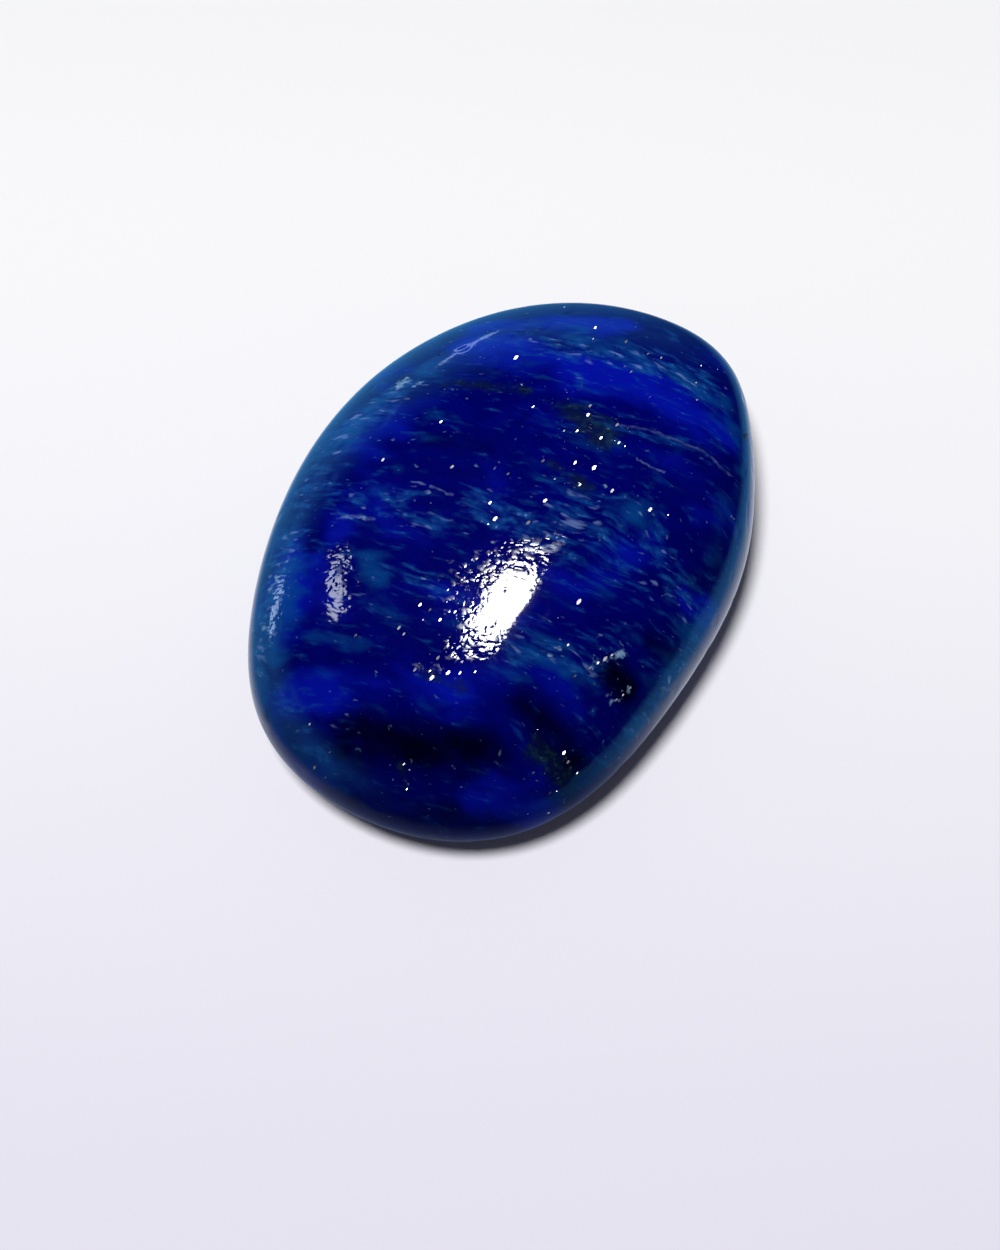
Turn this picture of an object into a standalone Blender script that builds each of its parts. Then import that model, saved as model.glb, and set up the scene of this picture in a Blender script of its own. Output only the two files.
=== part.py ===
"""A lapis lazuli tumbled stone: one polished, egg-shaped pebble that rests on a small flat spot.

The stone is one solid. Its long axis lies along X with the narrow end at +X, its thickness is along Z,
and its origin is on the surface it rests on, under the middle of its box.
"""

from math import cos, pi, radians, sin, tan

import bmesh
import bpy
from mathutils import Vector

MM = 0.001

# The egg that the rough stone was tumbled down from
LENGTH = 30.0 * MM
WIDTH = 21.35 * MM
CROWN = 5.9 * MM  # height of the dome above the stone's widest line
BELLY = 5.2 * MM  # depth of the dome below it
FLANK_FULLNESS = 0.13  # how much rounder the flanks are than an ellipsoid's
TAPER = 0.06  # how much narrower the +X end is than the middle
BLUNTNESS = 0.21  # how much both ends keep the middle's width
BOW = 1.14 * MM  # how far the ends bend towards -Y

# Gentle swells that tumbling left all over: direction, waves per radius, height, phase in radians
SWELLS = (
    (Vector((0.9, 0.3, 0.4)), 2.6, 0.10 * MM, 0.6),
    (Vector((-0.4, 0.8, 0.5)), 3.1, 0.08 * MM, 2.0),
    (Vector((0.3, -0.6, 0.8)), 3.7, 0.06 * MM, 4.1),
)

# Sides worn flatter than the egg: heading from +X in degrees, distance from the middle, softness
WORN_SIDES = (
    (111.0, 12.1 * MM, 7.4 * MM),
    (-57.5, 11.7 * MM, 4.3 * MM),
)

# The flat spot underneath
REST_CUT = 0.30 * MM  # how far above the belly's lowest point the spot lies
REST_ROUNDING = 0.12 * MM  # height over which the spot's edge turns up into the belly
REST_FLATNESS = 0.004 * MM  # points this close to the spot's plane lie exactly on it

# Squares along each side of the cube that is rounded into the stone
SQUARES = 20


def clear_scene():
    """Start from an empty scene."""
    for old in list(bpy.data.objects):
        bpy.data.objects.remove(old, do_unlink=True)


def smooth_min(a, b, softness):
    """The smaller of a and b, with the corner between them rounded off."""
    overlap = max(softness - abs(a - b), 0.0) / softness
    return min(a, b) - overlap**3 * softness / 6.0


def sphere_direction(point):
    """Direction for a point on the cube from -1 to 1, with the squares kept nearly even in size."""
    return Vector(tan(side * pi / 4.0) for side in point).normalized()


def egg_point(direction):
    """The blunt, bowed egg's point in a direction from its middle."""
    x, y, z = direction
    width_here = WIDTH / 2.0 * (1.0 - TAPER * x + BLUNTNESS * x * x)
    dome = (CROWN + BELLY) / 2.0 * z + (CROWN - BELLY) / 2.0 * z * z
    return Vector((
        LENGTH / 2.0 * x,
        width_here * y + BOW * (0.5 - x * x),
        dome * (1.0 + FLANK_FULLNESS * (1.0 - z * z)),
    ))


def swell(direction):
    """How far the swells push the surface out in a direction."""
    return sum(
        height * sin(waves * direction.dot(heading.normalized()) + phase)
        for heading, waves, height, phase in SWELLS
    )


def worn(point):
    """A point pushed in where the worn sides and the resting face take stone away."""
    for heading, distance, softness in WORN_SIDES:
        outward = Vector((cos(radians(heading)), sin(radians(heading)), 0.0))
        reach = point.dot(outward)
        point = point + outward * (smooth_min(reach, distance, softness) - reach)
    deepest = BELLY - REST_CUT
    depth = smooth_min(-point.z, deepest, REST_ROUNDING)
    point.z = -deepest if deepest - depth < REST_FLATNESS else -depth
    return point


def stand_on_origin(mesh):
    """Move a mesh so that the middle of its box's underside is at the origin."""
    low = [min(corner.co[axis] for corner in mesh.verts) for axis in range(3)]
    high = [max(corner.co[axis] for corner in mesh.verts) for axis in range(3)]
    middle = Vector(((low[0] + high[0]) / 2.0, (low[1] + high[1]) / 2.0, low[2]))
    bmesh.ops.translate(mesh, verts=mesh.verts, vec=-middle)


def polished_lapis():
    """Polished lapis lazuli: deep ultramarine stone with a glassy polish."""
    material = bpy.data.materials.new("polished_lapis_lazuli")
    material.use_nodes = True
    surface = material.node_tree.nodes["Principled BSDF"]
    surface.inputs["Base Color"].default_value = (0.003, 0.006, 0.21, 1.0)
    surface.inputs["Roughness"].default_value = 0.12
    surface.inputs["Metallic"].default_value = 0.0
    surface.inputs["IOR"].default_value = 1.5
    return material


def build_stone(collection):
    """Round a cube with gridded faces into the worn stone."""
    mesh = bmesh.new()
    bmesh.ops.create_cube(mesh, size=2.0)
    bmesh.ops.subdivide_edges(mesh, edges=mesh.edges, cuts=SQUARES - 1, use_grid_fill=True)
    for corner in mesh.verts:
        direction = sphere_direction(corner.co)
        corner.co = worn(egg_point(direction) + direction * swell(direction))
    stand_on_origin(mesh)
    bmesh.ops.recalc_face_normals(mesh, faces=mesh.faces)
    data = bpy.data.meshes.new("lapis_stone")
    mesh.to_mesh(data)
    mesh.free()
    data.shade_smooth()
    data.materials.append(polished_lapis())
    stone = bpy.data.objects.new("lapis_stone", data)
    collection.objects.link(stone)
    return stone


def main():
    clear_scene()
    collection = bpy.data.collections.new("lapis_lazuli")
    bpy.context.scene.collection.children.link(collection)
    build_stone(collection)


main()
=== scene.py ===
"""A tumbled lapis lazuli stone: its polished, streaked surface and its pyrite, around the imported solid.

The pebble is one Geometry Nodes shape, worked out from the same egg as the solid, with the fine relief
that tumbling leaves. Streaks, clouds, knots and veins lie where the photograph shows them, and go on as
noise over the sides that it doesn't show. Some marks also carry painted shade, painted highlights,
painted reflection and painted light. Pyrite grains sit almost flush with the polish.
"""

from math import cos, pi, radians, sin, tan

import bpy
import numpy as np
from mathutils import Matrix, Vector
from mathutils.bvhtree import BVHTree

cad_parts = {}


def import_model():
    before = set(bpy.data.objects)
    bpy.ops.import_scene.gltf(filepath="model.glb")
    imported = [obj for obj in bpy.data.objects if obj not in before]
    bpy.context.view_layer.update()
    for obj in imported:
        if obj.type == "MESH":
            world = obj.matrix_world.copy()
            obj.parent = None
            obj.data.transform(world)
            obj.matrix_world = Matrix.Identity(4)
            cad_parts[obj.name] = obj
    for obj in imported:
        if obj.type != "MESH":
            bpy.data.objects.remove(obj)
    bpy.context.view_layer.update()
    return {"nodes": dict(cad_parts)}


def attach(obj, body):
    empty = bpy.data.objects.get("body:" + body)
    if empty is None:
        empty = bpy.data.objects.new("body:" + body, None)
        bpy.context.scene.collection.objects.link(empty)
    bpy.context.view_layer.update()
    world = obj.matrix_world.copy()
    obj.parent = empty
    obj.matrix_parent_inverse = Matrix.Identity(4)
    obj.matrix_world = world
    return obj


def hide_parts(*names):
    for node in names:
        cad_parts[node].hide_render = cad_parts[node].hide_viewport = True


MM = 0.001
BODY = "root"
NODE = "lapis_stone"

# The photograph's frame in its own pixels, and the camera that sees the stone as it does
PHOTO_WIDTH, PHOTO_HEIGHT = 1000, 1250
FILM, LENS = 36.0, 100.0  # millimetres; the film's long side is the picture's height
CAMERA_HEADING = radians(59.21)  # from +Y towards +X
CAMERA_ELEVATION = radians(55.0)
CAMERA_DISTANCE = 157.0 * MM
CAMERA_AIM = Vector((-2.67, -1.31, 3.43)) * MM

RIGHT = Vector((cos(CAMERA_HEADING), -sin(CAMERA_HEADING), 0.0))
AWAY = Vector((sin(CAMERA_HEADING), cos(CAMERA_HEADING), 0.0))
UPWARD = Vector((0.0, 0.0, 1.0))
BACK = UPWARD * sin(CAMERA_ELEVATION) - AWAY * cos(CAMERA_ELEVATION)
PICTURE_UP = BACK.cross(RIGHT)
CAMERA_PLACE = CAMERA_AIM + BACK * CAMERA_DISTANCE

# The egg that the stone was tumbled down from, as in its solid
EGG = {
    "Length": 30.0 * MM,
    "Width": 21.35 * MM,
    "Crown": 5.9 * MM,
    "Belly": 5.2 * MM,
    "Flank fullness": 0.13,
    "Taper": 0.06,
    "Bluntness": 0.21,
    "Bow": 1.14 * MM,
    "Rest cut": 0.30 * MM,
    "Rest rounding": 0.12 * MM,
}
SWELLS = (
    (Vector((0.9, 0.3, 0.4)), 2.6, 0.10 * MM, 0.6),
    (Vector((-0.4, 0.8, 0.5)), 3.1, 0.08 * MM, 2.0),
    (Vector((0.3, -0.6, 0.8)), 3.7, 0.06 * MM, 4.1),
)
WORN_SIDES = (
    (111.0, 12.1 * MM, 7.4 * MM),
    (-57.5, 11.7 * MM, 4.3 * MM),
)
SQUARES = 128  # along each side of the cube that is rounded into the stone

# The polish's own relief: width of the waves and height of each, then of the shallow pits
RIPPLES = ((3.0 * MM, 0.012 * MM), (1.1 * MM, 0.006 * MM))
PIT_WIDTH = 0.9 * MM
PIT_DEPTH = 0.12 * MM
PIT_RARITY = 0.66
REST_CLEARANCE = 1.0 * MM  # the relief fades out below this height, so that the resting spot stays flat

SEEN_EDGE = 0.25  # how much a surface faces the photograph's camera before it counts as seen

# The beds that the streaks lie in cut the surface in arcs that fall to the right of the photograph
BED_NORMAL = (RIGHT * -0.34 + PICTURE_UP * -0.88 + BACK * 0.33).normalized()

# Soft marks in the photograph: from pixel, to pixel, half width in millimetres, strength
MARKS = {
    # Bands rich in streaks of calcite
    "streaked": (
        ((555, 345), (700, 385), 1.1, 1.1),
        ((452, 352), (540, 330), 0.6, 0.5),
        ((325, 440), (410, 385), 0.9, 0.9),
        ((300, 495), (455, 525), 1.2, 0.75),
        ((480, 505), (560, 540), 1.1, 1.0),
        ((560, 510), (690, 600), 1.9, 0.85),
        ((510, 650), (600, 665), 1.1, 0.9),
        ((620, 425), (710, 455), 0.6, 0.7),
        ((615, 760), (700, 640), 1.1, 0.7),
        ((285, 700), (340, 775), 0.7, 0.5),
        ((540, 372), (600, 388), 0.6, 0.4),
        ((574, 410), (608, 440), 0.8, 0.8),
        ((380, 575), (450, 600), 0.8, 0.6),
        ((258, 660), (290, 540), 1.0, 1.1),
        ((300, 500), (330, 450), 0.9, 0.8),
        ((340, 440), (400, 395), 0.7, 1.1),
    ),
    # Teal clouds of diopside, and along the left rim and upper left a painted reflection of the blue sky low
    # on the lit side
    "teal": (
        ((280, 540), (330, 500), 1.2, 0.7),
        ((254, 690), (285, 580), 1.2, 1.1),
        ((270, 655), (284, 600), 0.9, 1.1),
        ((330, 450), (385, 400), 1.0, 1.0),
        ((366, 562), (372, 582), 0.8, 1.0),
        ((345, 650), (358, 652), 0.7, 0.8),
        ((300, 760), (340, 790), 1.0, 0.8),
        ((380, 400), (470, 345), 0.8, 0.8),
        ((575, 335), (715, 400), 1.0, 1.0),
        ((722, 400), (742, 470), 0.7, 1.0),
        ((650, 700), (690, 640), 1.2, 0.8),
        ((620, 755), (650, 715), 1.0, 0.8),
        ((715, 560), (728, 500), 0.8, 0.5),
        ((535, 655), (560, 660), 0.9, 0.8),
        ((640, 510), (650, 512), 0.6, 0.9),
    ),
    # Depths where the blue goes almost black, and painted shade: the dark underside in front, the shaded
    # right flank and the shaded hollow of the chip in the notch
    "night": (
        ((350, 738), (480, 752), 1.5, 0.9),
        ((525, 705), (575, 770), 1.2, 0.8),
        ((330, 795), (450, 815), 0.9, 0.5),
        ((612, 674), (628, 690), 0.9, 1.0),
        ((650, 640), (670, 655), 0.7, 0.6),
        ((425, 438), (490, 446), 0.8, 0.5),
        ((455, 470), (480, 472), 0.7, 0.4),
        ((640, 470), (720, 560), 1.4, 0.25),
        ((690, 590), (720, 560), 1.0, 0.4),
    ),
    # Clear ultramarine, and on the top painted light: the blue made lighter where light from overhead and
    # behind falls most
    "bright": (
        ((470, 345), (640, 385), 1.3, 0.85),
        ((290, 685), (450, 690), 1.2, 0.9),
        ((480, 790), (560, 815), 1.2, 0.7),
        ((650, 395), (720, 430), 1.5, 0.85),
        ((330, 450), (400, 500), 1.3, 0.25),
        ((285, 650), (300, 540), 1.0, 0.6),
        ((320, 560), (340, 520), 0.9, 0.7),
        ((480, 328), (620, 325), 0.9, 0.9),
        ((690, 590), (705, 615), 0.8, 0.7),
        ((560, 600), (640, 560), 1.0, 0.3),
    ),
    # Pale patches of calcite, and painted highlights: the beaded glints along the chip in the notch and the
    # low window's glint on the left rim
    "pale": (
        ((588, 669), (603, 662), 0.18, 0.6),
        ((605, 660), (623, 650), 0.28, 0.85),
        ((612, 703), (633, 685), 0.22, 0.55),
        ((560, 650), (545, 652), 0.3, 0.5),
        ((398, 386), (404, 381), 0.35, 0.9),
        ((420, 383), (414, 386), 0.25, 0.8),
        ((270, 590), (283, 566), 0.3, 0.6),
        ((262, 645), (266, 620), 0.3, 0.6),
        ((640, 512), (648, 511), 0.25, 0.6),
        ((350, 517), (372, 519), 0.2, 0.5),
        ((664, 690), (684, 660), 0.3, 0.5),
    ),
    # Dark knots of augite and pyrite
    "knot": (
        ((574, 414), (606, 436), 1.1, 1.0),
        ((446, 384), (522, 390), 0.55, 0.8),
        ((550, 464), (590, 488), 0.5, 0.8),
        ((535, 750), (562, 775), 0.8, 0.9),
        ((558, 778), (572, 795), 0.6, 0.6),
        ((418, 668), (462, 688), 0.5, 0.7),
        ((590, 345), (640, 352), 0.4, 0.5),
        ((400, 764), (408, 790), 0.35, 0.6),
    ),
    # Places where polishing left the surface grainy
    "grainy": (
        ((455, 575), (555, 545), 1.0, 1.0),
        ((425, 670), (480, 640), 0.9, 0.9),
        ((450, 600), (465, 620), 0.7, 0.9),
        ((330, 560), (350, 600), 0.9, 0.85),
        ((270, 640), (285, 580), 0.9, 0.6),
        ((560, 640), (620, 655), 0.6, 0.5),
    ),
}

# Thin veins in the photograph: the pixels that each runs through, half width in millimetres, strength
VEINS = (
    (((620, 425), (652, 431), (678, 441), (704, 452), (726, 472), (745, 492)), 0.08, 0.22),
    (((638, 459), (652, 467), (664, 473)), 0.06, 0.4),
    (((338, 517), (352, 516), (374, 519)), 0.09, 0.35),
    (((430, 487), (441, 490), (453, 495)), 0.07, 0.35),
)

# Single grains of pyrite in the photograph: the pixel of each, in runs of like width in millimetres
GRAINS = (
    (0.37, (
        (516, 358), (533, 407), (508, 474), (543, 461), (575, 463), (545, 501), (528, 523), (495, 519),
        (612, 491), (650, 510), (452, 467), (594, 468), (404, 634), (399, 628), (415, 670), (448, 673),
        (460, 673), (432, 678), (438, 658), (579, 602), (605, 659), (617, 425), (577, 431), (745, 436),
    )),
    (0.25, (
        (441, 422), (383, 460), (495, 468), (490, 503), (488, 524), (590, 406), (588, 415), (601, 438),
        (619, 443), (564, 431), (580, 485), (697, 400), (696, 383), (650, 397), (631, 372), (734, 519),
        (423, 620), (420, 605), (430, 610), (450, 637), (568, 645), (522, 632), (356, 635), (648, 354),
        (661, 358), (701, 366), (595, 328), (593, 339), (626, 342), (564, 753), (568, 762), (577, 773),
        (558, 778), (550, 793), (564, 800), (404, 764), (407, 789), (330, 752), (326, 777), (315, 767),
        (310, 724), (430, 671), (458, 648), (470, 655), (462, 662), (452, 655), (475, 672), (445, 648),
        (440, 620), (455, 612), (448, 590), (462, 580), (472, 560), (488, 552), (505, 543), (520, 540),
        (598, 663), (612, 655), (590, 668), (623, 695), (616, 700), (630, 688), (575, 676), (668, 515),
    )),
)

# Lines of the egg's formula: result, operation, inputs
EGG_LINES = (
    ("x squared", "MULTIPLY", "x", "x"),
    ("z squared", "MULTIPLY", "z", "z"),
    ("narrowing", "MULTIPLY", "Taper", "x"),
    ("narrowed", "SUBTRACT", 1.0, "narrowing"),
    ("width share", "MULTIPLY_ADD", "Bluntness", "x squared", "narrowed"),
    ("width here", "MULTIPLY", "Width", "width share"),
    ("half across", "MULTIPLY", "y", 0.5),
    ("across", "MULTIPLY", "width here", "half across"),
    ("bend", "SUBTRACT", 0.5, "x squared"),
    ("egg y", "MULTIPLY_ADD", "Bow", "bend", "across"),
    ("both domes", "ADD", "Crown", "Belly"),
    ("dome difference", "SUBTRACT", "Crown", "Belly"),
    ("twice dome", "MULTIPLY_ADD", "dome difference", "z", "both domes"),
    ("half z", "MULTIPLY", "z", 0.5),
    ("dome", "MULTIPLY", "twice dome", "half z"),
    ("off pole", "SUBTRACT", 1.0, "z squared"),
    ("fuller", "MULTIPLY_ADD", "Flank fullness", "off pole", 1.0),
    ("egg z", "MULTIPLY", "dome", "fuller"),
    ("half x", "MULTIPLY", "x", 0.5),
    ("egg x", "MULTIPLY", "Length", "half x"),
)


def linear(hex_colour):
    """An sRGB hex colour as linear red, green, blue and full alpha."""
    channels = [int(hex_colour[i : i + 2], 16) / 255.0 for i in (1, 3, 5)]
    return tuple(c / 12.92 if c <= 0.04045 else ((c + 0.055) / 1.055) ** 2.4 for c in channels) + (1.0,)


def add_node(tree, kind, inputs=(), **settings):
    """Add a node, give it its settings, and link or fill its inputs, by place or by name."""
    node = tree.nodes.new(kind)
    for name, value in settings.items():
        setattr(node, name, value)
    pairs = inputs.items() if isinstance(inputs, dict) else enumerate(inputs)
    for key, value in pairs:
        if isinstance(value, bpy.types.NodeSocket):
            tree.links.new(value, node.inputs[key])
        elif value is not None:
            node.inputs[key].default_value = value
    return node


def work_out(tree, known, lines):
    """Keep the result of each line of a formula in known, under its name.

    STEP is a smooth step of a value between two limits, and the others are Math operations.
    """
    for result, operation, *inputs in lines:
        sockets = [known[item] if isinstance(item, str) else item for item in inputs]
        if operation == "STEP":
            node = add_node(tree, "ShaderNodeMapRange", sockets, interpolation_type="SMOOTHSTEP")
        else:
            node = add_node(tree, "ShaderNodeMath", sockets, operation=operation)
        known[result] = node.outputs[0]


def photo_ray(pixel):
    """The direction in which the camera sees a pixel of the photograph."""
    step = FILM / LENS / PHOTO_HEIGHT
    across = (pixel[0] - PHOTO_WIDTH / 2) * step
    up = (PHOTO_HEIGHT / 2 - pixel[1]) * step
    return (RIGHT * across + PICTURE_UP * up - BACK).normalized()


def surface_of(mesh):
    """A mesh as a tree that rays can be cast on."""
    return BVHTree.FromPolygons([v.co for v in mesh.vertices], [p.vertices for p in mesh.polygons])


def place_of(surface, pixel):
    """The point of a surface that the photograph shows at a pixel, and the normal there."""
    place, normal, _, _ = surface.ray_cast(CAMERA_PLACE, photo_ray(pixel))
    if place is None:
        raise ValueError(f"pixel {pixel} misses the stone")
    return place, normal


def grow(name, tree, start):
    """Run a Geometry Nodes tree on a start mesh, and keep the result as a plain mesh on a new object."""
    made = bpy.data.objects.new(name + "_growing", start)
    bpy.context.scene.collection.objects.link(made)
    modifier = made.modifiers.new(tree.name, "NODES")
    modifier.node_group = tree
    for item in tree.interface.items_tree:
        if item.item_type == "SOCKET" and item.in_out == "INPUT" and hasattr(item, "default_value"):
            modifier[item.identifier] = item.default_value
    depsgraph = bpy.context.evaluated_depsgraph_get()
    mesh = bpy.data.meshes.new_from_object(made.evaluated_get(depsgraph), depsgraph=depsgraph)
    bpy.data.objects.remove(made, do_unlink=True)
    mesh.name = name
    finished = bpy.data.objects.new(name, mesh)
    bpy.context.scene.collection.objects.link(finished)
    return finished


def new_geometry_tree(name, inputs):
    """An empty Geometry Nodes tree with named inputs: socket type and value of each."""
    tree = bpy.data.node_groups.new(name, "GeometryNodeTree")
    tree.interface.new_socket("Geometry", in_out="INPUT", socket_type="NodeSocketGeometry")
    tree.interface.new_socket("Geometry", in_out="OUTPUT", socket_type="NodeSocketGeometry")
    for label, (kind, value) in inputs.items():
        tree.interface.new_socket(label, in_out="INPUT", socket_type=kind).default_value = value
    return tree


def pushed(tree, points, direction, distance):
    """Points moved along a direction by a distance."""
    push = add_node(tree, "ShaderNodeVectorMath", {0: direction, "Scale": distance}, operation="SCALE")
    return add_node(tree, "ShaderNodeVectorMath", (points, push.outputs[0]), operation="ADD").outputs[0]


def egg_points(tree, known, corners):
    """The swollen egg's points, one for each point of a cube from -1 to 1."""
    turned = add_node(tree, "ShaderNodeVectorMath", {0: corners, "Scale": pi / 4}, operation="SCALE")
    evened = add_node(tree, "ShaderNodeVectorMath", (turned.outputs[0],), operation="TANGENT")
    rounded = add_node(tree, "ShaderNodeVectorMath", (evened.outputs[0],), operation="NORMALIZE")
    direction = rounded.outputs[0]
    parts = add_node(tree, "ShaderNodeSeparateXYZ", (direction,))
    known.update(x=parts.outputs[0], y=parts.outputs[1], z=parts.outputs[2])
    work_out(tree, known, EGG_LINES)
    egg = add_node(tree, "ShaderNodeCombineXYZ", (known["egg x"], known["egg y"], known["egg z"])).outputs[0]
    for heading, waves, height, phase in SWELLS:
        facing = add_node(
            tree, "ShaderNodeVectorMath", (direction, heading.normalized()), operation="DOT_PRODUCT"
        )
        known["facing"] = facing.outputs["Value"]
        work_out(tree, known, (
            ("turn", "MULTIPLY_ADD", "facing", waves, phase),
            ("wave", "SINE", "turn"),
            ("push", "MULTIPLY", "wave", height),
        ))
        egg = pushed(tree, egg, direction, known["push"])
    return egg


def worn_points(tree, known, points):
    """Points pushed in where the worn sides and the resting face take stone away."""
    for heading, distance, softness in WORN_SIDES:
        outward = (cos(radians(heading)), sin(radians(heading)), 0.0)
        reach = add_node(tree, "ShaderNodeVectorMath", (points, outward), operation="DOT_PRODUCT")
        known["reach"] = reach.outputs["Value"]
        work_out(tree, known, (
            ("kept", "SMOOTH_MIN", "reach", distance, softness),
            ("lost", "SUBTRACT", "kept", "reach"),
        ))
        points = pushed(tree, points, outward, known["lost"])
    parts = add_node(tree, "ShaderNodeSeparateXYZ", (points,))
    known["height"] = parts.outputs[2]
    work_out(tree, known, (
        ("deepest", "SUBTRACT", "Rest cut", "Belly"),
        ("rested", "SMOOTH_MAX", "height", "deepest", "Rest rounding"),
    ))
    return add_node(tree, "ShaderNodeCombineXYZ", (*parts.outputs[:2], known["rested"])).outputs[0]


def stood(tree, known, geometry):
    """A shape moved so that the middle of its box's underside is at the origin."""
    box = add_node(tree, "GeometryNodeBoundBox", (geometry,))
    span = add_node(tree, "ShaderNodeVectorMath", (box.outputs["Min"], box.outputs["Max"]), operation="ADD")
    middle = add_node(tree, "ShaderNodeVectorMath", {0: span.outputs[0], "Scale": -0.5}, operation="SCALE")
    middle = add_node(tree, "ShaderNodeSeparateXYZ", (middle.outputs[0],))
    known["lowest"] = add_node(tree, "ShaderNodeSeparateXYZ", (box.outputs["Min"],)).outputs[2]
    work_out(tree, known, (("lift", "MULTIPLY", "lowest", -1.0),))
    shift = add_node(tree, "ShaderNodeCombineXYZ", (*middle.outputs[:2], known["lift"])).outputs[0]
    return add_node(tree, "GeometryNodeTransform", {0: geometry, "Translation": shift}).outputs[0]


def relieved(tree, known, geometry):
    """A shape pushed in and out by ripples and shallow pits, but flat where it rests."""
    place = add_node(tree, "GeometryNodeInputPosition").outputs[0]
    normal = add_node(tree, "GeometryNodeInputNormal").outputs[0]
    known["above rest"] = add_node(tree, "ShaderNodeSeparateXYZ", (place,)).outputs[2]
    pits = add_node(tree, "ShaderNodeTexNoise", {"Vector": place, "Scale": 1.0 / PIT_WIDTH, "Detail": 0.0})
    known["pits"] = pits.outputs[0]
    work_out(tree, known, (
        ("over", "SUBTRACT", "pits", PIT_RARITY),
        ("inside", "MAXIMUM", "over", 0.0),
        ("relief", "MULTIPLY", "inside", -PIT_DEPTH),
    ))
    for width, height in RIPPLES:
        noise = add_node(tree, "ShaderNodeTexNoise", {"Vector": place, "Scale": 1.0 / width, "Detail": 1.0})
        known["noise"] = noise.outputs[0]
        work_out(tree, known, (
            ("centred", "SUBTRACT", "noise", 0.5),
            ("relief", "MULTIPLY_ADD", "centred", height, "relief"),
        ))
    work_out(tree, known, (
        ("fade", "DIVIDE", "above rest", REST_CLEARANCE),
        ("fade", "MINIMUM", "fade", 1.0),
        ("relief", "MULTIPLY", "relief", "fade"),
    ))
    moved = pushed(tree, place, normal, known["relief"])
    return add_node(tree, "GeometryNodeSetPosition", {0: geometry, "Position": moved}).outputs[0]


def pebble_tree(material):
    """A cube rounded into the egg, swollen, worn on its sides and foot, and finished with fine relief."""
    inputs = {label: ("NodeSocketFloat", value) for label, value in EGG.items()}
    inputs["Squares"] = ("NodeSocketInt", SQUARES)
    tree = new_geometry_tree("worn pebble", inputs)
    known = {s.name: s for s in add_node(tree, "NodeGroupInput").outputs}
    corners = add_node(tree, "FunctionNodeIntegerMath", (known["Squares"], 1), operation="ADD").outputs[0]
    cube = add_node(tree, "GeometryNodeMeshCube", ((2.0, 2.0, 2.0), corners, corners, corners)).outputs[0]
    place = add_node(tree, "GeometryNodeInputPosition").outputs[0]
    points = worn_points(tree, known, egg_points(tree, known, place))
    shaped = add_node(tree, "GeometryNodeSetPosition", {0: cube, "Position": points}).outputs[0]
    finished = relieved(tree, known, stood(tree, known, shaped))
    smooth = add_node(tree, "GeometryNodeSetShadeSmooth", (finished,)).outputs[0]
    realized = add_node(tree, "GeometryNodeRealizeInstances", (smooth,)).outputs[0]
    dressed = add_node(tree, "GeometryNodeSetMaterial", {0: realized, "Material": material}).outputs[0]
    add_node(tree, "NodeGroupOutput", (dressed,))
    return tree


def mark_strengths(points, surface, marks):
    """How strongly each point lies in a set of soft marks, each a short band between two pixels."""
    mask = np.zeros(len(points))
    for start, end, half_width, strength in marks:
        a = np.array(place_of(surface, start)[0])
        along = np.array(place_of(surface, end)[0]) - a
        share = np.clip((points - a) @ along / max(along @ along, 1e-12), 0.0, 1.0)
        away = np.linalg.norm(points - a - share[:, None] * along, axis=1)
        mask = np.maximum(mask, strength * np.exp(-((away / (half_width * MM)) ** 2)))
    return mask


def seen_share(mesh):
    """1 where the photograph shows the surface, 0 where it doesn't, with a soft edge."""
    normals = np.empty(len(mesh.vertices) * 3, np.float32)
    mesh.vertices.foreach_get("normal", normals)
    facing = normals.reshape(-1, 3) @ np.array(BACK)
    return np.clip(facing / SEEN_EDGE, 0.0, 1.0)


def store_marks(mesh, surface):
    """Keep each kind of mark as a value on the stone's points, for its material and for the pyrite."""
    points = np.empty(len(mesh.vertices) * 3, np.float32)
    mesh.vertices.foreach_get("co", points)
    points = points.reshape(-1, 3).astype(float)
    masks = {name: mark_strengths(points, surface, marks) for name, marks in MARKS.items()}
    masks["seen"] = seen_share(mesh)
    for name, mask in masks.items():
        mesh.attributes.new(name, "FLOAT", "POINT").data.foreach_set("value", mask.astype(np.float32))


# Polished lapis lazuli: lazurite rock, tumbled and polished to a glassy skin. The eye gets deep ultramarine
# with navy depths, short blue-grey calcite streaks along its beds, teal diopside clouds and dark knots.
# At marked places near black is also painted shade, pale is painted highlight, teal is painted
# reflection and clear blue is painted light.
# Near black: navy depths, and painted shade where the night marks lie
NIGHT_AND_SHADE = "#00001c"
DEEP = "#000160"
BLUE = "#010372"
CLEAR = "#0411a0"
CLOUD = "#06458c"
STREAK = "#15509c"
CALCITE = "#7c98d6"
# Pale: calcite, and painted highlights at the notch and on the left rim
PALE_AND_GLINT = "#7ea2c8"
KNOT = "#07152c"
MOSS = "#1b3a42"

# Noise in the beds: name, length along them and thickness across them in millimetres, octaves of detail,
# and a shift in blots that keeps the noises apart
BED_NOISES = (
    ("tone", 5.0, 2.4, 3.0, 0.0),
    ("mottle", 1.5, 1.0, 2.0, 40.0),
    ("cluster", 6.0, 2.2, 2.0, 80.0),
    ("streaks", 1.15, 0.32, 4.0, 120.0),
    ("flecks", 0.8, 0.3, 1.0, 160.0),
    ("cloud", 2.2, 0.9, 5.0, 200.0),
    ("blots", 0.8, 0.6, 3.0, 240.0),
    ("grain", 0.34, 0.26, 1.0, 280.0),
)
FOLD_WIDTH = 6.0 * MM  # width of the folds in the beds
FOLD_PUSH = 2.4 * MM  # how far a fold carries its beds
VEIN_WANDER_WIDTH = 0.5 * MM
VEIN_WANDER_PUSH = 0.35 * MM


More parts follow.
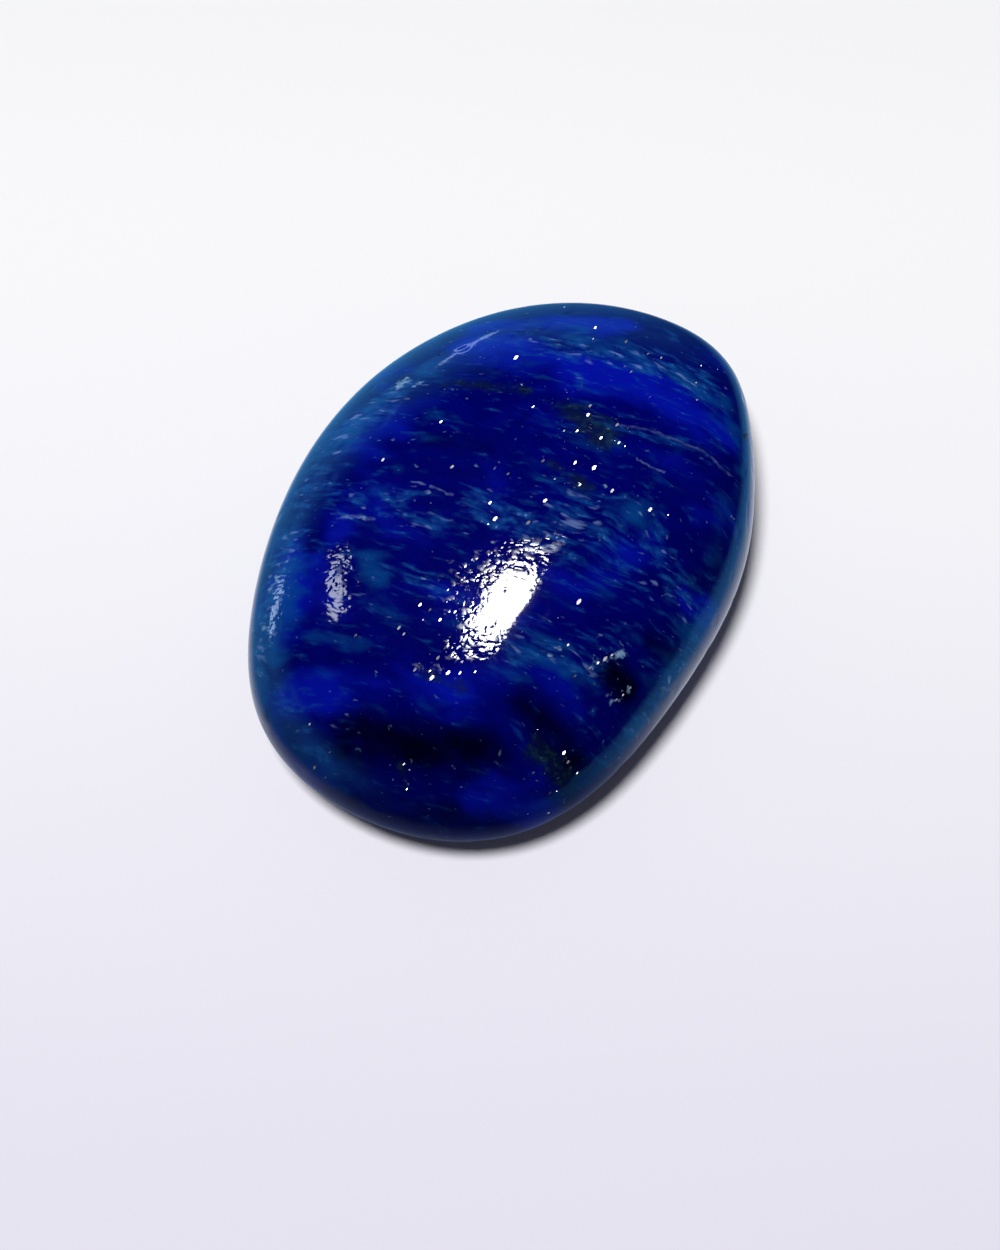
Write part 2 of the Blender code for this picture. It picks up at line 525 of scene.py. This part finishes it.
def bed_noises(tree, known, place):
    """Noises whose blots are long in the beds and thin across them, on folded beds."""
    fold = add_node(tree, "ShaderNodeTexNoise", {"Vector": place, "Scale": 1 / FOLD_WIDTH, "Detail": 2.0})
    centred = add_node(
        tree, "ShaderNodeVectorMath", (fold.outputs["Color"], (0.5, 0.5, 0.5)), operation="SUBTRACT"
    )
    folded = pushed(tree, place, centred.outputs[0], FOLD_PUSH)
    bed_turn = BED_NORMAL.to_track_quat("Z", "Y").to_euler()
    for name, long, thick, detail, shift in BED_NOISES:
        mapped = add_node(
            tree,
            "ShaderNodeMapping",
            {
                "Vector": folded,
                "Location": (shift * MM, 0.0, 0.0),
                "Rotation": bed_turn,
                "Scale": (long * MM, long * MM, thick * MM),
            },
            vector_type="TEXTURE",
        )
        noise = add_node(
            tree, "ShaderNodeTexNoise", {"Vector": mapped.outputs[0], "Scale": 1.0, "Detail": detail}
        )
        known[name] = noise.outputs["Fac"]


def vein_share(tree, known, place, surface):
    """How much of each point is vein, from its distance to every stretch of every vein."""
    wander = add_node(
        tree, "ShaderNodeTexNoise", {"Vector": place, "Scale": 1 / VEIN_WANDER_WIDTH, "Detail": 2.0}
    )
    centred = add_node(
        tree, "ShaderNodeVectorMath", (wander.outputs["Color"], (0.5, 0.5, 0.5)), operation="SUBTRACT"
    )
    wandering = pushed(tree, place, centred.outputs[0], VEIN_WANDER_PUSH)
    total = None
    for pixels, half_width, strength in VEINS:
        stops = [place_of(surface, pixel)[0] for pixel in pixels]
        for start, end in zip(stops, stops[1:]):
            along = end - start
            offset = add_node(tree, "ShaderNodeVectorMath", (wandering, start), operation="SUBTRACT")
            offset = offset.outputs[0]
            reach = add_node(tree, "ShaderNodeVectorMath", (offset, along), operation="DOT_PRODUCT")
            share = add_node(
                tree,
                "ShaderNodeMapRange",
                {"Value": reach.outputs["Value"], "From Max": along.length_squared},
            )
            across = pushed(tree, offset, tuple(-along), share.outputs["Result"])
            gap = add_node(tree, "ShaderNodeVectorMath", (across,), operation="LENGTH")
            drawn = add_node(
                tree,
                "ShaderNodeMapRange",
                {
                    "Value": gap.outputs["Value"],
                    "From Min": 0.3 * half_width * MM,
                    "From Max": 1.6 * half_width * MM,
                    "To Min": strength,
                    "To Max": 0.0,
                },
                interpolation_type="SMOOTHSTEP",
            ).outputs["Result"]
            if total is not None:
                drawn = add_node(tree, "ShaderNodeMath", (total, drawn), operation="MAXIMUM").outputs[0]
            total = drawn
    known["vein"] = total
    work_out(tree, known, (("broken vein", "MULTIPLY_ADD", "grain", 2.2, -0.55),))
    work_out(tree, known, (("vein", "MULTIPLY", "vein", "broken vein"),))


def lapis_colour(tree, known):
    """The stone's colour, layer over layer, from its noises and marks."""
    work_out(tree, known, (
        ("unseen", "SUBTRACT", 1.0, "seen"),
        ("tone here", "MULTIPLY_ADD", "bright", 0.34, "tone"),
        ("night and shade here", "MULTIPLY_ADD", "mottle", 0.9, "night"),
        ("streak zone", "MULTIPLY", "unseen", "cluster"),
        ("streak zone", "MAXIMUM", "streak zone", "streaked"),
        ("streak here", "MULTIPLY_ADD", "streak zone", 0.20, "streaks"),
        ("fleck here", "MULTIPLY_ADD", "streak zone", 0.16, "flecks"),
        ("cloud zone", "MULTIPLY_ADD", "unseen", 0.35, "teal"),
        ("cloud here", "MULTIPLY_ADD", "cloud zone", 0.26, "cloud"),
        ("knot here", "MULTIPLY_ADD", "blots", 1.1, "knot"),
        ("pale and glint here", "MULTIPLY", "pale", 0.7),
        ("pale and glint here", "MULTIPLY_ADD", "grain", 1.6, "pale and glint here"),
        ("clear share", "STEP", "tone here", 0.50, 0.80),
        ("mottled share", "STEP", "mottle", 0.42, 0.66),
        ("night and shade share", "STEP", "night and shade here", 0.60, 1.45),
        ("streak share", "STEP", "streak here", 0.56, 0.90),
        ("fleck share", "STEP", "fleck here", 0.74, 0.92),
        ("cloud share", "STEP", "cloud here", 0.56, 0.90),
        ("knot share", "STEP", "knot here", 0.90, 1.55),
        ("moss share", "STEP", "grain", 0.48, 0.66),
        ("pale and glint share", "STEP", "pale and glint here", 1.12, 1.62),
        ("mottled share", "MULTIPLY", "mottled share", 0.5),
        ("cloud share", "MULTIPLY", "cloud share", 0.65),
        ("broken", "MULTIPLY_ADD", "grain", 1.9, -0.25),
        ("streak share", "MULTIPLY", "streak share", "broken"),
        ("fleck share", "MULTIPLY", "fleck share", 0.45),
        ("knot share", "MULTIPLY", "knot share", 0.8),
        ("moss share", "MULTIPLY", "moss share", "knot share"),
        ("moss share", "MULTIPLY", "moss share", 0.5),
    ))
    colour = linear(DEEP)
    for over, share in (
        (BLUE, "mottled share"),
        # clear blue: random tone, and painted light on the top where the bright marks lift it
        (CLEAR, "clear share"),
        # teal: diopside clouds, and where the teal marks lift it on the left rim and upper left, painted
        # reflection
        (CLOUD, "cloud share"),
        (STREAK, "streak share"),
        (CALCITE, "fleck share"),
        # near black: navy depths, and painted shade on the underside in front, the right flank and the notch
        (NIGHT_AND_SHADE, "night and shade share"),
        (KNOT, "knot share"),
        (MOSS, "moss share"),
        # pale: calcite, and painted highlights at the notch and on the left rim
        (PALE_AND_GLINT, "pale and glint share"),
        (CALCITE, "vein"),
    ):
        mixed = add_node(
            tree, "ShaderNodeMix", {0: known[share], 6: colour, 7: linear(over)}, data_type="RGBA"
        )
        colour = mixed.outputs[2]
    return colour


def lapis_material(surface):
    """The stone's colour under a glassy polish, with a fine grain in its skin."""
    material = bpy.data.materials.new("polished_lapis_lazuli")
    material.use_nodes = True
    tree = material.node_tree
    tree.nodes.clear()
    place = add_node(tree, "ShaderNodeTexCoord").outputs["Object"]
    known = {
        name: add_node(tree, "ShaderNodeAttribute", attribute_name=name).outputs["Fac"]
        for name in (*MARKS, "seen")
    }
    bed_noises(tree, known, place)
    vein_share(tree, known, place, surface)
    colour = lapis_colour(tree, known)

    # The polish is duller on calcite and in the knots than on lazurite, and grainy where grains broke out
    work_out(tree, known, (
        ("grainy zone", "MULTIPLY_ADD", "streak share", 0.4, "grainy"),
        ("rough here", "MULTIPLY_ADD", "grainy zone", 0.22, "grain"),
        ("rough share", "STEP", "rough here", 0.70, 0.86),
        ("rough", "MULTIPLY_ADD", "rough share", 0.22, 0.055),
        ("rough", "MULTIPLY_ADD", "knot share", 0.12, "rough"),
        ("uneven", "MULTIPLY_ADD", "grainy", 1.6, 0.12),
        ("skin", "MULTIPLY", "grain", "uneven"),
    ))
    bump = add_node(
        tree, "ShaderNodeBump", {"Strength": 1.0, "Distance": 0.02 * MM, "Height": known["skin"]}
    )
    shader = add_node(
        tree,
        "ShaderNodeBsdfPrincipled",
        {"Base Color": colour, "Roughness": known["rough"], "IOR": 1.5, "Normal": bump.outputs[0]},
    )
    add_node(tree, "ShaderNodeOutputMaterial", (shader.outputs[0],))
    return material


def pyrite_material():
    """Pyrite: iron sulphide in broken faces, polished down with the stone. Its glints are nearly white."""
    material = bpy.data.materials.new("polished_pyrite")
    material.use_nodes = True
    tree = material.node_tree
    tree.nodes.clear()
    place = add_node(tree, "ShaderNodeTexCoord").outputs["Object"]
    tone = add_node(tree, "ShaderNodeTexNoise", {"Vector": place, "Scale": 1 / (0.5 * MM), "Detail": 2.0})
    colour = add_node(
        tree,
        "ShaderNodeMix",
        {0: tone.outputs["Fac"], 6: linear("#a8a5ae"), 7: linear("#eeebf6")},
        data_type="RGBA",
    )
    shader = add_node(
        tree,
        "ShaderNodeBsdfPrincipled",
        {"Base Color": colour.outputs[2], "Metallic": 1.0, "Roughness": 0.34},
    )
    add_node(tree, "ShaderNodeOutputMaterial", (shader.outputs[0],))
    return material


PYRITE = {
    "Per square metre": ("NodeSocketFloat", 0.5e6),
    "In knots": ("NodeSocketFloat", 3.0e6),
    "Smallest": ("NodeSocketFloat", 0.05 * MM),
    "Largest": ("NodeSocketFloat", 0.15 * MM),
    "Tilt": ("NodeSocketFloat", 0.5),
    "Seed": ("NodeSocketInt", 11),
}


def placed_grains(surface):
    """The grains that the photograph shows, as loose points with their width and the way they face."""
    glint = (BACK + LAMP_WAY).normalized()
    places, widths, ways = [], [], []
    chance = np.random.default_rng(5)
    for width, pixels in GRAINS:
        for pixel in pixels:
            place, normal = place_of(surface, pixel)
            places.append(place)
            widths.append(width * MM * chance.uniform(0.6, 1.2))
            ways.append((glint * 0.9 + normal * 0.35 + Vector(chance.normal(0, 0.17, 3))).normalized())
    mesh = bpy.data.meshes.new("placed_grains")
    mesh.from_pydata(places, [], [])
    mesh.attributes.new("width", "FLOAT", "POINT").data.foreach_set("value", widths)
    flat = [part for way in ways for part in way]
    mesh.attributes.new("way", "FLOAT_VECTOR", "POINT").data.foreach_set("vector", flat)
    points = bpy.data.objects.new("placed_grains", mesh)
    bpy.context.scene.collection.objects.link(points)
    return points


def scattered_grains(tree, known):
    """Points strewn over the stone, thicker in its knots, with the same values as the placed ones."""
    knot = add_node(tree, "GeometryNodeInputNamedAttribute", {"Name": "knot"}, data_type="FLOAT")
    seen = add_node(tree, "GeometryNodeInputNamedAttribute", {"Name": "seen"}, data_type="FLOAT")
    place = add_node(tree, "GeometryNodeInputPosition").outputs[0]
    swarm = add_node(tree, "ShaderNodeTexNoise", {"Vector": place, "Scale": 1 / (3.5 * MM), "Detail": 2.0})
    height = add_node(tree, "ShaderNodeSeparateXYZ", (place,)).outputs[2]
    known.update(knot=knot.outputs[0], seen=seen.outputs[0], swarm=swarm.outputs[0], height=height)
    work_out(tree, known, (
        ("gathered", "SUBTRACT", "swarm", 0.50),
        ("gathered", "MAXIMUM", "gathered", 0.01),
        ("gathered", "MULTIPLY", "gathered", 10.0),
        ("shown", "MULTIPLY_ADD", "seen", -0.75, 1.0),
        ("gathered", "MULTIPLY", "gathered", "shown"),
        ("open ground", "MULTIPLY", "Per square metre", "gathered"),
        ("density", "MULTIPLY_ADD", "knot", "In knots", "open ground"),
        ("clearance", "MULTIPLY_ADD", "height", 1 / REST_CLEARANCE, -0.3),
        ("clearance", "MAXIMUM", "clearance", 0.0),
        ("clearance", "MINIMUM", "clearance", 1.0),
        ("density", "MULTIPLY", "density", "clearance"),
    ))
    spread = add_node(
        tree,
        "GeometryNodeDistributePointsOnFaces",
        {"Mesh": known["Geometry"], "Density": known["density"], "Seed": known["Seed"]},
        distribute_method="RANDOM",
    )
    draw = add_node(tree, "FunctionNodeRandomValue", {"Seed": 23}, data_type="FLOAT")
    known["draw"] = draw.outputs[1]
    jog = add_node(
        tree,
        "FunctionNodeRandomValue",
        {0: (-1.0, -1.0, -1.0), 1: (1.0, 1.0, 1.0), "Seed": known["Seed"]},
        data_type="FLOAT_VECTOR",
    )
    work_out(tree, known, (
        ("draw", "POWER", "draw", 2.5),
        ("range", "SUBTRACT", "Largest", "Smallest"),
        ("width", "MULTIPLY_ADD", "draw", "range", "Smallest"),
    ))
    way = pushed(tree, spread.outputs["Normal"], jog.outputs[0], known["Tilt"])
    sized = add_node(
        tree,
        "GeometryNodeStoreNamedAttribute",
        {"Geometry": spread.outputs["Points"], "Name": "width", "Value": known["width"]},
        data_type="FLOAT",
    )
    return add_node(
        tree,
        "GeometryNodeStoreNamedAttribute",
        {"Geometry": sized.outputs[0], "Name": "way", "Value": way},
        data_type="FLOAT_VECTOR",
    ).outputs[0]


def pyrite_tree(material, placed):
    """Small flattened crystals sunk into the surface with only their tops showing."""
    tree = new_geometry_tree("pyrite grains", PYRITE)
    known = {s.name: s for s in add_node(tree, "NodeGroupInput").outputs}
    scattered = scattered_grains(tree, known)
    shown = add_node(tree, "GeometryNodeObjectInfo", {"Object": placed}).outputs["Geometry"]
    points = add_node(tree, "GeometryNodeMeshToPoints", {"Mesh": shown}).outputs[0]
    joined = add_node(tree, "GeometryNodeJoinGeometry", (points,))
    tree.links.new(scattered, joined.inputs[0])

    crystal = add_node(
        tree,
        "GeometryNodeMeshCone",
        {"Vertices": 6, "Radius Top": 0.36, "Radius Bottom": 0.5, "Depth": 0.5},
        fill_type="NGON",
    ).outputs["Mesh"]
    sunk = add_node(
        tree, "GeometryNodeTransform", {0: crystal, "Translation": (0.0, 0.0, -0.38)}
    )
    way = add_node(tree, "GeometryNodeInputNamedAttribute", {"Name": "way"}, data_type="FLOAT_VECTOR")
    width = add_node(tree, "GeometryNodeInputNamedAttribute", {"Name": "width"}, data_type="FLOAT")
    facing = add_node(tree, "FunctionNodeAlignRotationToVector", {"Vector": way.outputs[0]}, axis="Z")
    spin = add_node(
        tree,
        "FunctionNodeRandomValue",
        {0: (0.0, 0.0, 0.0), 1: (0.0, 0.0, 2 * pi), "Seed": 41},
        data_type="FLOAT_VECTOR",
    )
    turned = add_node(
        tree,
        "FunctionNodeRotateRotation",
        (facing.outputs[0], spin.outputs[0]),
        rotation_space="LOCAL",
    )
    form = add_node(
        tree,
        "FunctionNodeRandomValue",
        {0: (0.7, 0.45, 0.8), 1: (1.5, 0.95, 1.1), "Seed": 31},
        data_type="FLOAT_VECTOR",
    )
    scale = add_node(
        tree, "ShaderNodeVectorMath", {0: form.outputs[0], "Scale": width.outputs[0]}, operation="SCALE"
    )
    crystals = add_node(
        tree,
        "GeometryNodeInstanceOnPoints",
        {
            "Points": joined.outputs[0],
            "Instance": sunk.outputs[0],
            "Rotation": turned.outputs[0],
            "Scale": scale.outputs[0],
        },
    )
    realized = add_node(tree, "GeometryNodeRealizeInstances", (crystals.outputs[0],)).outputs[0]
    dressed = add_node(tree, "GeometryNodeSetMaterial", {0: realized, "Material": material}).outputs[0]
    add_node(tree, "NodeGroupOutput", (dressed,))
    return tree


def way_of(right, away, up):
    """A direction from the camera's right, the way it looks along the floor, and up."""
    return (RIGHT * right + AWAY * away + UPWARD * up).normalized()


LIGHT_DISTANCE = 0.6  # metres from the stone to each light
STONE_MIDDLE = UPWARD * 5 * MM
FLOOR_REACH = 3.0  # metres from the stone to each side of the floor

# The lamp overhead, whose reflection is the main highlight
LAMP_WAY = way_of(0.066, 0.163, 1.0)
LAMP_LONG = way_of(0.43, 0.90, -0.17)

# The light on the floor alone: how far off the camera's line it stands, and to which side
ROOM_OFF = radians(12.0)
ROOM_SIDE = RIGHT * -0.45 + PICTURE_UP * 0.89

# Lights that only reflections show: name, way, way of the long side, degrees wide and long, radiance, tint
REFLECTED = (
    ("tall_window", way_of(-0.57, 0.35, 0.74), way_of(0.10, 0.34, -0.09), 5.5, 18.0, 9.0, "#eef6ff"),
    ("low_window", way_of(-0.90, 0.42, 0.07), way_of(0.0, 0.2, 0.4), 8.0, 22.0, 7.0, "#b4d2f0"),
    ("far_sill", way_of(-0.20, 0.97, 0.06), way_of(0.16, 0.04, -0.17), 1.6, 12.0, 3.2, "#a8c4f8"),
)


def build_light(name, way, long_way, wide, long, radiance, shape="ELLIPSE"):
    """An area light that faces the stone, as wide and long as seen from it in degrees, and as bright."""
    data = bpy.data.lights.new(name, "AREA")
    data.shape = shape
    data.size = 2 * LIGHT_DISTANCE * tan(radians(wide / 2))
    data.size_y = 2 * LIGHT_DISTANCE * tan(radians(long / 2))
    area = data.size * data.size_y * (pi / 4 if shape == "ELLIPSE" else 1.0)
    data.energy = radiance * pi * area
    light = bpy.data.objects.new(name, data)
    light.location = STONE_MIDDLE + way * LIGHT_DISTANCE
    across = long_way.cross(way).normalized()
    light.rotation_euler = Matrix((across, way.cross(across), way)).transposed().to_euler()
    bpy.context.scene.collection.objects.link(light)
    return light


def shine_only_on(light, pieces):
    """Let a light reach only some pieces."""
    group = bpy.data.collections.new(light.name + "_reaches")
    for piece in pieces:
        group.objects.link(piece)
    light.light_linking.receiver_collection = group


def build_lights(floor, pieces):
    """The lamp and a soft fill on the stone, reflections for its polish, and an even light on the floor."""
    lamp = build_light("overhead_lamp", LAMP_WAY, LAMP_LONG, 9.5, 17.5, 40.0, "RECTANGLE")
    fill = build_light("soft_fill", way_of(-0.35, 0.45, 0.82), RIGHT, 50.0, 50.0, 1.6)
    fill.visible_glossy = False
    for light in (lamp, fill):
        shine_only_on(light, pieces)
    for name, way, long_way, wide, long, radiance, tint in REFLECTED:
        light = build_light(name, way, long_way, wide, long, radiance)
        light.data.color = linear(tint)[:3]
        light.visible_diffuse = False
        shine_only_on(light, pieces)
    room_way = (BACK + ROOM_SIDE * tan(ROOM_OFF)).normalized()
    room = build_light("room_light", room_way, RIGHT, 9.0, 9.0, 172.0)
    room.visible_glossy = False
    shine_only_on(room, (floor,))


# What the polish mirrors low around the stone, as linear colours: skylight blue on the left and behind,
# almost dark elsewhere, the floor near the stone, and the same floor where the stone shades it in front
AZURE = (0.10, 0.50, 1.0, 1.0)
DUSK = (0.002, 0.02, 0.05, 1.0)
NEARBY = (0.62, 0.68, 0.82, 1.0)
SHADED = (0.10, 0.13, 0.20, 1.0)
LIT_SIDE = way_of(-0.85, 0.53, 0.0)
HORIZON_GLOW = 0.85  # how bright the blue is at the horizon
DARK_AIR = 0.004  # how bright the air is where it isn't blue

# The floor as light that bounces off it onto the stone finds it
BOUNCED = (0.35, 0.35, 0.4, 1.0)


def azure_share(tree, known, direction):
    """How much of the blue a direction or place along the floor has, by the side that it lies on."""
    side = add_node(tree, "ShaderNodeVectorMath", (direction, LIT_SIDE), operation="DOT_PRODUCT")
    known["side"] = side.outputs["Value"]
    work_out(tree, known, (("azure side", "STEP", "side", -0.15, 0.95),))


def build_world():
    """Pale studio air: soft as a light, and in reflections dark above and blue low on the lit side."""
    world = bpy.data.worlds.new("studio")
    bpy.context.scene.world = world
    world.use_nodes = True
    tree = world.node_tree
    tree.nodes.clear()
    path = add_node(tree, "ShaderNodeLightPath")
    known = {}
    direction = add_node(tree, "ShaderNodeTexCoord").outputs["Generated"]
    known["up"] = add_node(tree, "ShaderNodeSeparateXYZ", (direction,)).outputs[2]
    azure_share(tree, known, direction)
    work_out(tree, known, (
        ("high", "STEP", "up", 0.04, 0.52),
        ("low", "SUBTRACT", 1.0, "high"),
        ("mirrored", "MULTIPLY", "low", "azure side"),
        ("mirrored", "MULTIPLY_ADD", "mirrored", HORIZON_GLOW, DARK_AIR),
    ))
    lit = add_node(
        tree, "ShaderNodeMix", {0: path.outputs["Is Camera Ray"], 2: 0.09, 3: 0.92}, data_type="FLOAT"
    )
    strength = add_node(
        tree,
        "ShaderNodeMix",
        {0: path.outputs["Is Glossy Ray"], 2: lit.outputs[0], 3: known["mirrored"]},
        data_type="FLOAT",
    )
    tint = add_node(
        tree,
        "ShaderNodeMix",
        {0: path.outputs["Is Glossy Ray"], 6: linear("#f6f6fb"), 7: AZURE},
        data_type="RGBA",
    )
    sky = add_node(tree, "ShaderNodeBackground", {"Color": tint.outputs[2], "Strength": strength.outputs[0]})
    add_node(tree, "ShaderNodeOutputWorld", (sky.outputs[0],))


def floor_material():
    """Pale paper: whiter away from the camera, lavender towards it, and dim and blue in reflections."""
    material = bpy.data.materials.new("pale_paper")
    material.use_nodes = True
    tree = material.node_tree
    tree.nodes.clear()
    place = add_node(tree, "ShaderNodeTexCoord").outputs["Object"]
    ahead = add_node(tree, "ShaderNodeVectorMath", (place, AWAY), operation="DOT_PRODUCT")
    known = {"ahead": ahead.outputs["Value"]}
    work_out(tree, known, (("far share", "STEP", "ahead", -45 * MM, 30 * MM),))
    paper = add_node(
        tree,
        "ShaderNodeMix",
        {0: known["far share"], 6: linear("#dad7e5"), 7: linear("#fafafc")},
        data_type="RGBA",
    ).outputs[2]
    known["gap"] = add_node(tree, "ShaderNodeVectorMath", (place,), operation="LENGTH").outputs["Value"]
    shares = (2 / EGG["Length"], 2 / EGG["Width"], 0.0)
    oval = add_node(tree, "ShaderNodeVectorMath", (place, shares), operation="MULTIPLY").outputs[0]
    oval = add_node(tree, "ShaderNodeVectorMath", (oval,), operation="LENGTH")
    known["outline gap"] = oval.outputs["Value"]
    heading = add_node(tree, "ShaderNodeVectorMath", (place,), operation="NORMALIZE").outputs[0]
    azure_share(tree, known, heading)
    frontward = add_node(tree, "ShaderNodeVectorMath", (heading, AWAY), operation="DOT_PRODUCT")
    known["frontward"] = frontward.outputs["Value"]
    rightward = add_node(tree, "ShaderNodeVectorMath", (heading, RIGHT), operation="DOT_PRODUCT")
    known["rightward"] = rightward.outputs["Value"]
    path = add_node(tree, "ShaderNodeLightPath")
    known["mirror ray"] = path.outputs["Is Glossy Ray"]
    work_out(tree, known, (
        ("beyond", "STEP", "outline gap", 1.1, 1.75),
        ("out of shade", "STEP", "frontward", -0.95, -0.35),
        ("right glow", "STEP", "rightward", 0.1, 0.95),
        ("past glow", "STEP", "gap", 20 * MM, 42 * MM),
        ("far off", "STEP", "gap", 80 * MM, 300 * MM),
        ("far off", "MULTIPLY", "far off", "mirror ray"),
        ("horizon glow", "MULTIPLY_ADD", "azure side", HORIZON_GLOW, DARK_AIR),
        ("within glow", "SUBTRACT", 1.0, "past glow"),
        ("right glow", "MULTIPLY", "right glow", "within glow"),
        ("right glow", "MULTIPLY", "right glow", 0.85),
        ("azure side", "MULTIPLY", "azure side", 0.75),
        ("azure side", "MAXIMUM", "azure side", "right glow"),
    ))
    near = add_node(
        tree, "ShaderNodeMix", {0: known["out of shade"], 6: SHADED, 7: NEARBY}, data_type="RGBA"
    ).outputs[2]
    azure = add_node(
        tree, "ShaderNodeMix", {0: known["azure side"], 6: DUSK, 7: AZURE}, data_type="RGBA"
    ).outputs[2]
    mirrored = add_node(
        tree, "ShaderNodeMix", {0: known["beyond"], 6: near, 7: azure}, data_type="RGBA"
    ).outputs[2]
    colour = add_node(
        tree, "ShaderNodeMix", {0: known["mirror ray"], 6: paper, 7: mirrored}, data_type="RGBA"
    ).outputs[2]
    bounced = add_node(
        tree, "ShaderNodeMix", {0: path.outputs["Is Diffuse Ray"], 6: colour, 7: BOUNCED}, data_type="RGBA"
    ).outputs[2]
    near_floor = add_node(tree, "ShaderNodeBsdfDiffuse", (bounced,)).outputs[0]
    # Far off, mirror rays find the floor glowing blue though no lamp lights it: painted skylight for the
    # polish to reflect
    far_floor = add_node(tree, "ShaderNodeEmission", (AZURE, known["horizon glow"])).outputs[0]
    shader = add_node(tree, "ShaderNodeMixShader", (known["far off"], near_floor, far_floor))
    add_node(tree, "ShaderNodeOutputMaterial", (shader.outputs[0],))
    return material


def build_floor():
    """A plain floor that ends far outside the picture."""
    mesh = bpy.data.meshes.new("floor")
    corners = [(x * FLOOR_REACH, y * FLOOR_REACH, 0.0) for x, y in ((-1, -1), (1, -1), (1, 1), (-1, 1))]
    mesh.from_pydata(corners, [], [(0, 1, 2, 3)])
    mesh.materials.append(floor_material())
    floor = bpy.data.objects.new("floor", mesh)
    bpy.context.scene.collection.objects.link(floor)
    return floor


def build_camera():
    """The camera that sees the stone as the photograph does."""
    data = bpy.data.cameras.new("camera")
    data.lens = LENS
    data.sensor_width = FILM
    data.sensor_fit = "AUTO"
    data.clip_start = 1 * MM
    camera = bpy.data.objects.new("camera", data)
    camera.location = CAMERA_PLACE
    camera.rotation_euler = Matrix((RIGHT, PICTURE_UP, BACK)).transposed().to_euler()
    bpy.context.scene.collection.objects.link(camera)
    bpy.context.scene.camera = camera


def main():
    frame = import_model()
    surface = surface_of(frame["nodes"][NODE].data)
    build_camera()
    build_world()
    floor = build_floor()

    stone = grow("lapis_surface", pebble_tree(lapis_material(surface)), bpy.data.meshes.new("start"))
    polished = surface_of(stone.data)
    store_marks(stone.data, polished)
    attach(stone, BODY)
    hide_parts(NODE)

    placed = placed_grains(polished)
    pyrite = grow("pyrite_grains", pyrite_tree(pyrite_material(), placed), stone.data.copy())
    bpy.data.objects.remove(placed, do_unlink=True)
    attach(pyrite, BODY)

    build_lights(floor, (stone, pyrite))
    bpy.context.scene.view_settings.view_transform = "Standard"


main()
